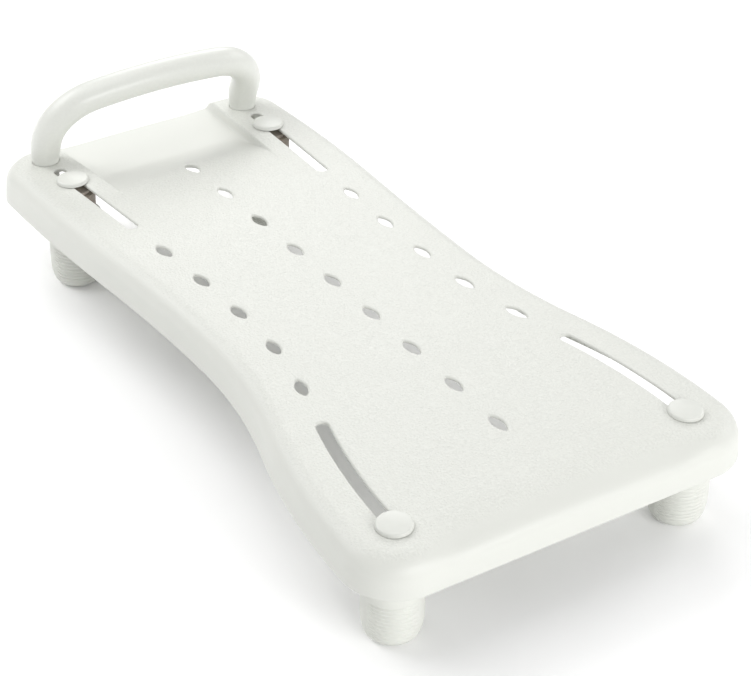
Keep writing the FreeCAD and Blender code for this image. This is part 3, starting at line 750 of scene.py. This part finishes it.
def handle_line():
    """Centre line from the right leg's foot over the grip to the left one's."""
    step = 1.6
    base_z = arched(*LEG) + LEAN_START
    rise = np.array([0, -math.sin(LEAN), math.cos(LEAN)])
    setback = LEAN_BEND_R * math.tan(LEAN / 2)
    base = np.array([0, LEG[1], base_z])
    corner_x = LEG[0] - ARCH_CORNER_R
    spread = math.asin(corner_x / (GRIP_CROWN_R - ARCH_CORNER_R))
    bow_s = ARCH_HEIGHT - GRIP_CROWN_R
    corner_s = bow_s + (GRIP_CROWN_R - ARCH_CORNER_R) * math.cos(spread)
    foot_z = arched(*LEG) - LEG_SINK
    points = []
    for z in np.linspace(foot_z, base_z - setback, 8)[:-1]:
        points.append((LEG[0], LEG[1], z))
    count = int(LEAN_BEND_R * LEAN / step)
    for a in np.linspace(0, LEAN, count + 1)[:-1]:
        y = LEG[1] - LEAN_BEND_R * (1 - math.cos(a))
        points.append((LEG[0], y, base_z - setback + LEAN_BEND_R * math.sin(a)))
    for s in np.linspace(setback, corner_s, 5)[:-1]:
        points.append(tuple(base + [LEG[0], 0, 0] + rise * s))
    count = int(ARCH_CORNER_R * (math.pi / 2 - spread) / step)
    for a in np.linspace(0, math.pi / 2 - spread, count + 1)[:-1]:
        across = [corner_x + ARCH_CORNER_R * math.cos(a), 0, 0]
        points.append(tuple(base + across + rise * (corner_s + ARCH_CORNER_R * math.sin(a))))
    count = int(GRIP_CROWN_R * spread / step)
    for a in np.linspace(spread, 0, count + 1):
        across = [GRIP_CROWN_R * math.sin(a), 0, 0]
        points.append(tuple(base + across + rise * (bow_s + GRIP_CROWN_R * math.cos(a))))
    right = np.array(points)
    left = (right[:-1] * [-1, 1, 1])[::-1]
    return np.concatenate([right, left])


def make_handle(material):
    """The one-piece tubular handle, slimmer at its legs, with a spigot below each leg."""
    shell = Shell()
    path = handle_line()
    run = np.concatenate([[0], np.cumsum(np.linalg.norm(np.diff(path, axis=0), axis=1))])
    from_end = np.minimum(run, run[-1] - run)
    radius = LEG_R + (GRIP_R - LEG_R) * smooth((from_end - 3) / 15)
    foot_round = np.clip(1 - (from_end - 1.6) / 2.6, 0, 1)
    radius = radius - LEG_TIP * (1 - np.sqrt(1 - foot_round ** 2))
    tangent = np.gradient(path, axis=0)
    tangent /= np.linalg.norm(tangent, axis=1)[:, None]
    normal = np.array([0.0, 1.0, 0.0])
    rings = []
    t = np.linspace(0, 2 * math.pi, 72, endpoint=False)
    for p, d, r in zip(path, tangent, radius):
        normal = normal - d * np.dot(normal, d)
        normal /= np.linalg.norm(normal)
        other = np.cross(d, normal)
        rings.append(p + r * (np.cos(t)[:, None] * normal + np.sin(t)[:, None] * other))
    ids = [shell.add(r) for r in rings]
    for a, b in zip(ids, ids[1:]):
        shell.bridge(b, a)
    shell.fan(ids[0], path[0], False)
    shell.fan(ids[-1], path[-1], True)
    bore_r, bore_top = INSERT_BORE
    low = SPIGOT_BOTTOM_Z
    spigot = [(bore_r, bore_top), (bore_r, low), (SPIGOT_R, low), (SPIGOT_R, path[0][2] + 1.0)]
    for _, side in SIDES:
        turned(shell, spigot, 48, lambda points, x=side * LEG[0]: points + [x, LEG[1], 0])
    return shell.object("handle_tube", material)


# ---------------------------------------------------------------- feet

def make_cap(name, x, y, turn, material):
    """Domed disc on the deck, with the neck that slides in the slot below it."""
    shell = Shell()
    gap = NEAR_CAP_GAP if name.startswith("near") else FAR_CAP_GAP
    up = Vector((x / CROWN_R, y / BOW_R, 1)).normalized()
    tilt = np.array(Vector((0, 0, 1)).rotation_difference(up).to_matrix())
    seat = np.array([x, y, float(arched(np.float64(x), np.float64(y)))])

    def place(points):
        return points @ tilt.T + seat

    profile = [(CAP_R - 0.5, gap)]
    side_low = gap + CAP_LIP
    for a in np.radians(np.arange(-90, 1, 30)):
        profile.append((CAP_R - CAP_LIP + CAP_LIP * math.cos(a), side_low + CAP_LIP * math.sin(a)))
    lean, high = CAP_SIDE
    for t in (0.35, 0.7, 1.0):
        profile.append((CAP_R - lean * t, side_low + (high - side_low) * t))
    for a in np.radians(np.arange(14, 77, 12.5)):
        r = CAP_R - lean - CAP_SHOULDER * (1 - math.cos(a))
        profile.append((r, high + CAP_SHOULDER * math.sin(a)))
    edge_r, edge_z = profile[-1]
    for k in range(1, 19):
        r = edge_r * (1 - k / 18.5)
        profile.append((r, CAP_CREST - (CAP_CREST - edge_z) * (r / edge_r) ** CAP_CURVE))
    turned(shell, profile, 96, place)
    c, s = math.cos(turn), math.sin(turn)
    half_w, half_l = NECK_HALF
    stadium = np.concatenate([
        arc((0, half_l - half_w), half_w, 0, math.pi, 12),
        arc((0, half_w - half_l), half_w, math.pi, 2 * math.pi, 12),
    ])
    stadium = stadium @ np.array([[c, -s], [s, c]])
    neck_top = gap + 0.5
    levels = ((0.94, NECK_LOW), (1.0, NECK_LOW + NECK_CHAMFER), (1.0, neck_top))
    rings = [shell.add(place(lift(stadium * f, z))) for f, z in levels]
    for a, b in zip(rings, rings[1:]):
        shell.bridge(b, a)
    shell.fan(rings[0], place(np.array([[0, 0, NECK_LOW]]))[0], False)
    shell.fan(rings[-1], place(np.array([[0, 0, neck_top]]))[0], True)
    return shell.object(name + "_cap_disc", material)


def make_sleeve(name, x, y, facing, material):
    """Ribbed rubber sleeve, smooth at two sides, with a bullet-shaped base and a bore for the core."""
    shell = Shell()
    toe = math.asin((BELLY_TOP - TOE_R) / (BELLY_R - TOE_R))
    toe_c = FOOT_R - BELLY_R + (BELLY_R - TOE_R) * math.cos(toe)
    outer = []
    for a in np.linspace(math.pi / 2, toe, 14):
        outer.append((toe_c + TOE_R * math.cos(a), TOE_R - TOE_R * math.sin(a)))
    for a in np.linspace(toe, 0, 46)[1:]:
        outer.append((FOOT_R - BELLY_R + BELLY_R * math.cos(a), BELLY_TOP - BELLY_R * math.sin(a)))
    for z in np.arange(BELLY_TOP + 0.4, SLEEVE_TOP - 1.0, 0.4):
        outer.append((FOOT_R, z))
    for a in np.radians(np.arange(0, 91, 18)):
        r = FOOT_R - SLEEVE_RIM + SLEEVE_RIM * math.cos(a)
        outer.append((r, SLEEVE_TOP - SLEEVE_RIM + SLEEVE_RIM * math.sin(a)))
    segments = 144
    t = np.linspace(0, 2 * math.pi, segments, endpoint=False)
    away = np.abs((t - facing + math.pi / 2) % math.pi - math.pi / 2)
    across = 1 - smooth((away - RIB_FADE[0]) / RIB_FADE[1])
    rings = []
    for r, z in outer:
        k = (RIB_TOP - z) / RIB_PITCH
        groove = 0.0
        if -0.5 < k < RIB_COUNT:
            groove = 0.5 + 0.5 * math.cos(2 * math.pi * k)
        above_toe = min(1.0, max(0.0, (z - 5.0) / 6.0))
        grooved = r - RIB_GROOVE * groove * across * above_toe
        rings.append(np.column_stack([x + grooved * np.cos(t), y + grooved * np.sin(t), np.full(segments, z)]))
    for r, z in ((SLEEVE_BORE, SLEEVE_TOP), (SLEEVE_BORE, SLEEVE_TOP - 20), (SLEEVE_BORE, SLEEVE_FLOOR)):
        rings.append(np.column_stack([x + r * np.cos(t), y + r * np.sin(t), np.full(segments, z)]))
    ids = [shell.add(r) for r in rings]
    for a, b in zip(ids, ids[1:]):
        shell.bridge(b, a)
    shell.fan(ids[0], [x, y, 0.0], False)
    shell.fan(ids[-1], [x, y, SLEEVE_FLOOR], True)
    return shell.object(name + "_sleeve_ribbed", material)


# ---------------------------------------------------------------- materials

def moulded(name, colour, roughness, grain, grain_depth, mottle, mask=None, coat=0.0):
    """Procedural moulded plastic or rubber: pebble grain, faint mottling and uneven gloss."""
    material = bpy.data.materials.new(name)
    material.use_nodes = True
    nodes, links = material.node_tree.nodes, material.node_tree.links
    shader = nodes["Principled BSDF"]

    def maths(operation, first, second):
        node = nodes.new("ShaderNodeMath")
        node.operation = operation
        for socket, value in zip(node.inputs, (first, second)):
            if isinstance(value, float):
                socket.default_value = value
            else:
                links.new(value, socket)
        return node.outputs[0]

    coords = nodes.new("ShaderNodeTexCoord")
    pebble = nodes.new("ShaderNodeTexNoise")
    pebble.inputs["Scale"].default_value = 1000.0 / grain
    pebble.inputs["Detail"].default_value = 1.5
    pebble.inputs["Roughness"].default_value = 0.5
    links.new(coords.outputs["Object"], pebble.inputs["Vector"])
    cloud = nodes.new("ShaderNodeTexNoise")
    cloud.inputs["Scale"].default_value = 22.0
    cloud.inputs["Detail"].default_value = 4.0
    links.new(coords.outputs["Object"], cloud.inputs["Vector"])
    relief = maths("SUBTRACT", pebble.outputs["Fac"], 0.5)
    if mask:
        where = nodes.new("ShaderNodeAttribute")
        where.attribute_name = mask
        relief = maths("MULTIPLY", relief, where.outputs["Fac"])
    shade = nodes.new("ShaderNodeValToRGB")
    shade.color_ramp.elements[0].position = 0.2
    shade.color_ramp.elements[1].position = 0.8
    shade.color_ramp.elements[0].color = [c * (1 - mottle) for c in colour] + [1]
    shade.color_ramp.elements[1].color = [min(1.0, c * (1 + mottle)) for c in colour] + [1]
    drift = maths("MULTIPLY", maths("SUBTRACT", cloud.outputs["Fac"], 0.5), 0.2)
    links.new(maths("ADD", maths("ADD", relief, drift), 0.5), shade.inputs["Fac"])
    links.new(shade.outputs["Color"], shader.inputs["Base Color"])
    gloss = nodes.new("ShaderNodeMapRange")
    gloss.inputs["To Min"].default_value = roughness - 0.05
    gloss.inputs["To Max"].default_value = roughness + 0.05
    links.new(cloud.outputs["Fac"], gloss.inputs["Value"])
    links.new(gloss.outputs["Result"], shader.inputs["Roughness"])
    bump = nodes.new("ShaderNodeBump")
    bump.inputs["Distance"].default_value = 0.001
    bump.inputs["Strength"].default_value = grain_depth
    links.new(relief, bump.inputs["Height"])
    links.new(bump.outputs["Normal"], shader.inputs["Normal"])
    shader.inputs["IOR"].default_value = 1.49
    shader.inputs["Coat Weight"].default_value = coat
    shader.inputs["Coat Roughness"].default_value = 0.2
    return material


def turned_metal(name, colour, roughness):
    """Turned metal with a fine noisy tone and uneven gloss."""
    material = bpy.data.materials.new(name)
    material.use_nodes = True
    nodes, links = material.node_tree.nodes, material.node_tree.links
    shader = nodes["Principled BSDF"]
    shader.inputs["Metallic"].default_value = 1.0
    coords = nodes.new("ShaderNodeTexCoord")
    noise = nodes.new("ShaderNodeTexNoise")
    noise.inputs["Scale"].default_value = 260.0
    noise.inputs["Detail"].default_value = 3.0
    links.new(coords.outputs["Object"], noise.inputs["Vector"])
    shade = nodes.new("ShaderNodeValToRGB")
    shade.color_ramp.elements[0].color = [c * 0.8 for c in colour] + [1]
    shade.color_ramp.elements[1].color = list(colour) + [1]
    links.new(noise.outputs["Fac"], shade.inputs["Fac"])
    links.new(shade.outputs["Color"], shader.inputs["Base Color"])
    gloss = nodes.new("ShaderNodeMapRange")
    gloss.inputs["To Min"].default_value = roughness - 0.08
    gloss.inputs["To Max"].default_value = roughness + 0.08
    links.new(noise.outputs["Fac"], gloss.inputs["Value"])
    links.new(gloss.outputs["Result"], shader.inputs["Roughness"])
    return material


def paint(node, material):
    """Give a CAD node a material."""
    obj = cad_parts[node]
    if not obj.data.materials:
        obj.data.materials.append(material)
    for slot_index in range(len(obj.material_slots)):
        obj.material_slots[slot_index].material = material


# name, colour, roughness, grain size in mm, grain depth, mottle
deck_plastic = moulded("deck_plastic", (0.645, 0.653, 0.613), 0.44, 1.9, 0.7, 0.055, mask="grain")
handle_plastic = moulded("handle_plastic", (0.67, 0.68, 0.64), 0.36, 2.5, 0.03, 0.02, coat=0.12)
cap_plastic = moulded("cap_plastic", (0.645, 0.655, 0.615), 0.4, 6.0, 0.05, 0.02, coat=0.06)
rubber = moulded("rubber", (0.665, 0.675, 0.63), 0.5, 2.5, 0.004, 0.01)
core_plastic = moulded("core_plastic", (0.36, 0.31, 0.26), 0.5, 1.5, 0.1, 0.15)
washer_plastic = moulded("washer_plastic", (0.42, 0.37, 0.32), 0.5, 1.5, 0.1, 0.15)
steel = turned_metal("steel", (0.62, 0.62, 0.64), 0.32)
brass = turned_metal("brass", (0.70, 0.52, 0.22), 0.3)


# ---------------------------------------------------------------- assemble

deck = make_deck(deck_plastic)
ribs = deck_ribs(deck_plastic)
ribs.parent = deck
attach(deck, "deck")
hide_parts("deck")
handle = make_handle(handle_plastic)
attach(handle, "deck")
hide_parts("handle")
paint("handle_inserts", brass)
paint("handle_washers", steel)
paint("handle_screws", steel)
for side_name, side in SIDES:
    for name, x, y, turn in (
            ("near_" + side_name, side * slot_point(0)[0], NEAR_FOOT_Y, -side * NEAR_START),
            ("far_" + side_name, side * FAR_FOOT[0], FAR_FOOT[1], side * math.atan(FAR_SLOT_LEAN))):
        cap = make_cap(name, x, y, turn, cap_plastic)
        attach(cap, "clamp_" + name)
        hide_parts(name + "_cap")
        sleeve = make_sleeve(name, x, y, SLEEVE_FACING, rubber)
        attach(sleeve, "foot_" + name)
        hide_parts(name + "_sleeve")
        paint(name + "_bolt", steel)
        paint(name + "_washer", washer_plastic)
        paint(name + "_insert", brass)
        paint(name + "_core", core_plastic)


# ---------------------------------------------------------------- stage, lights and camera

FLOOR_HALF = 12
FLOOR_GLOW = 0.055
WORLD_STRENGTH = 0.41
AIM = (0, 0, 0.05)


def studio_white(name, colour):
    """Pale floor with the faintest unevenness."""
    material = bpy.data.materials.new(name)
    material.use_nodes = True
    nodes, links = material.node_tree.nodes, material.node_tree.links
    shader = nodes["Principled BSDF"]
    noise = nodes.new("ShaderNodeTexNoise")
    noise.inputs["Scale"].default_value = 3.0
    shade = nodes.new("ShaderNodeValToRGB")
    shade.color_ramp.elements[0].color = [c * 0.995 for c in colour] + [1]
    shade.color_ramp.elements[1].color = list(colour) + [1]
    links.new(noise.outputs["Fac"], shade.inputs["Fac"])
    links.new(shade.outputs["Color"], shader.inputs["Base Color"])
    shader.inputs["Roughness"].default_value = 0.9
    shader.inputs["Specular IOR Level"].default_value = 0.1
    shader.inputs["Emission Color"].default_value = (1, 1, 1, 1)
    shader.inputs["Emission Strength"].default_value = FLOOR_GLOW
    return material


def area_light(name, place, size, power):
    """A rectangular light aimed at the board."""
    data = bpy.data.lights.new(name, "AREA")
    data.shape = "RECTANGLE"
    data.size, data.size_y = size
    data.energy = power
    light = bpy.data.objects.new(name, data)
    light.location = place
    light.rotation_euler = (Vector(AIM) - Vector(place)).to_track_quat("-Z", "Y").to_euler()
    bpy.context.scene.collection.objects.link(light)


floor_mesh = bpy.data.meshes.new("floor")
floor_corners = [(x * FLOOR_HALF, y * FLOOR_HALF, 0) for x, y in ((-1, -1), (1, -1), (1, 1), (-1, 1))]
floor_mesh.from_pydata(floor_corners, [], [(0, 1, 2, 3)])
floor_mesh.materials.append(studio_white("floor_white", (0.97, 0.97, 0.97)))
floor = bpy.data.objects.new("floor", floor_mesh)
bpy.context.scene.collection.objects.link(floor)

world = bpy.data.worlds.new("studio")
world.use_nodes = True
world.node_tree.nodes["Background"].inputs["Color"].default_value = (1, 1, 1, 1)
world.node_tree.nodes["Background"].inputs["Strength"].default_value = WORLD_STRENGTH
bpy.context.scene.world = world

area_light("back_left", (-1.2, 1.5, 1.6), (1.8, 1.2), 26.5)
area_light("back_left_high", (-0.7, 1.1, 2.1), (1.4, 1.2), 11)
area_light("back_right", (1.15, 1.75, 1.4), (1.3, 0.9), 15)
area_light("front", (0.2, -2.4, 0.8), (2.0, 0.8), 37)
area_light("right", (2.3, 0.0, 1.2), (1.8, 1.0), 14.5)
area_light("top", (0, 0, 2.4), (1.2, 1.2), 7)

CAMERA_PLACE = (-0.8847, -1.4023, 1.1219)
CAMERA_AZIMUTH = math.radians(-33.69)
CAMERA_ELEVATION = math.radians(33.05)
CAMERA_ROLL = math.radians(0.913)
camera_data = bpy.data.cameras.new("camera")
camera_data.sensor_width = 36.0
camera_data.lens = 113.14
camera_data.shift_x = -0.001
camera_data.shift_y = 0.002
camera = bpy.data.objects.new("camera", camera_data)
sa, ca = math.sin(CAMERA_AZIMUTH), math.cos(CAMERA_AZIMUTH)
se, ce = math.sin(CAMERA_ELEVATION), math.cos(CAMERA_ELEVATION)
back = Vector((sa * ce, -ca * ce, se))
right = Vector((ca, sa, 0))
up = back.cross(right)
right_rolled = right * math.cos(CAMERA_ROLL) + up * math.sin(CAMERA_ROLL)
up_rolled = up * math.cos(CAMERA_ROLL) - right * math.sin(CAMERA_ROLL)
axes = Matrix((right_rolled, up_rolled, back)).transposed()
camera.matrix_world = Matrix.Translation(CAMERA_PLACE) @ axes.to_4x4()
bpy.context.scene.collection.objects.link(camera)
bpy.context.scene.camera = camera
bpy.context.scene.view_settings.view_transform = "Standard"
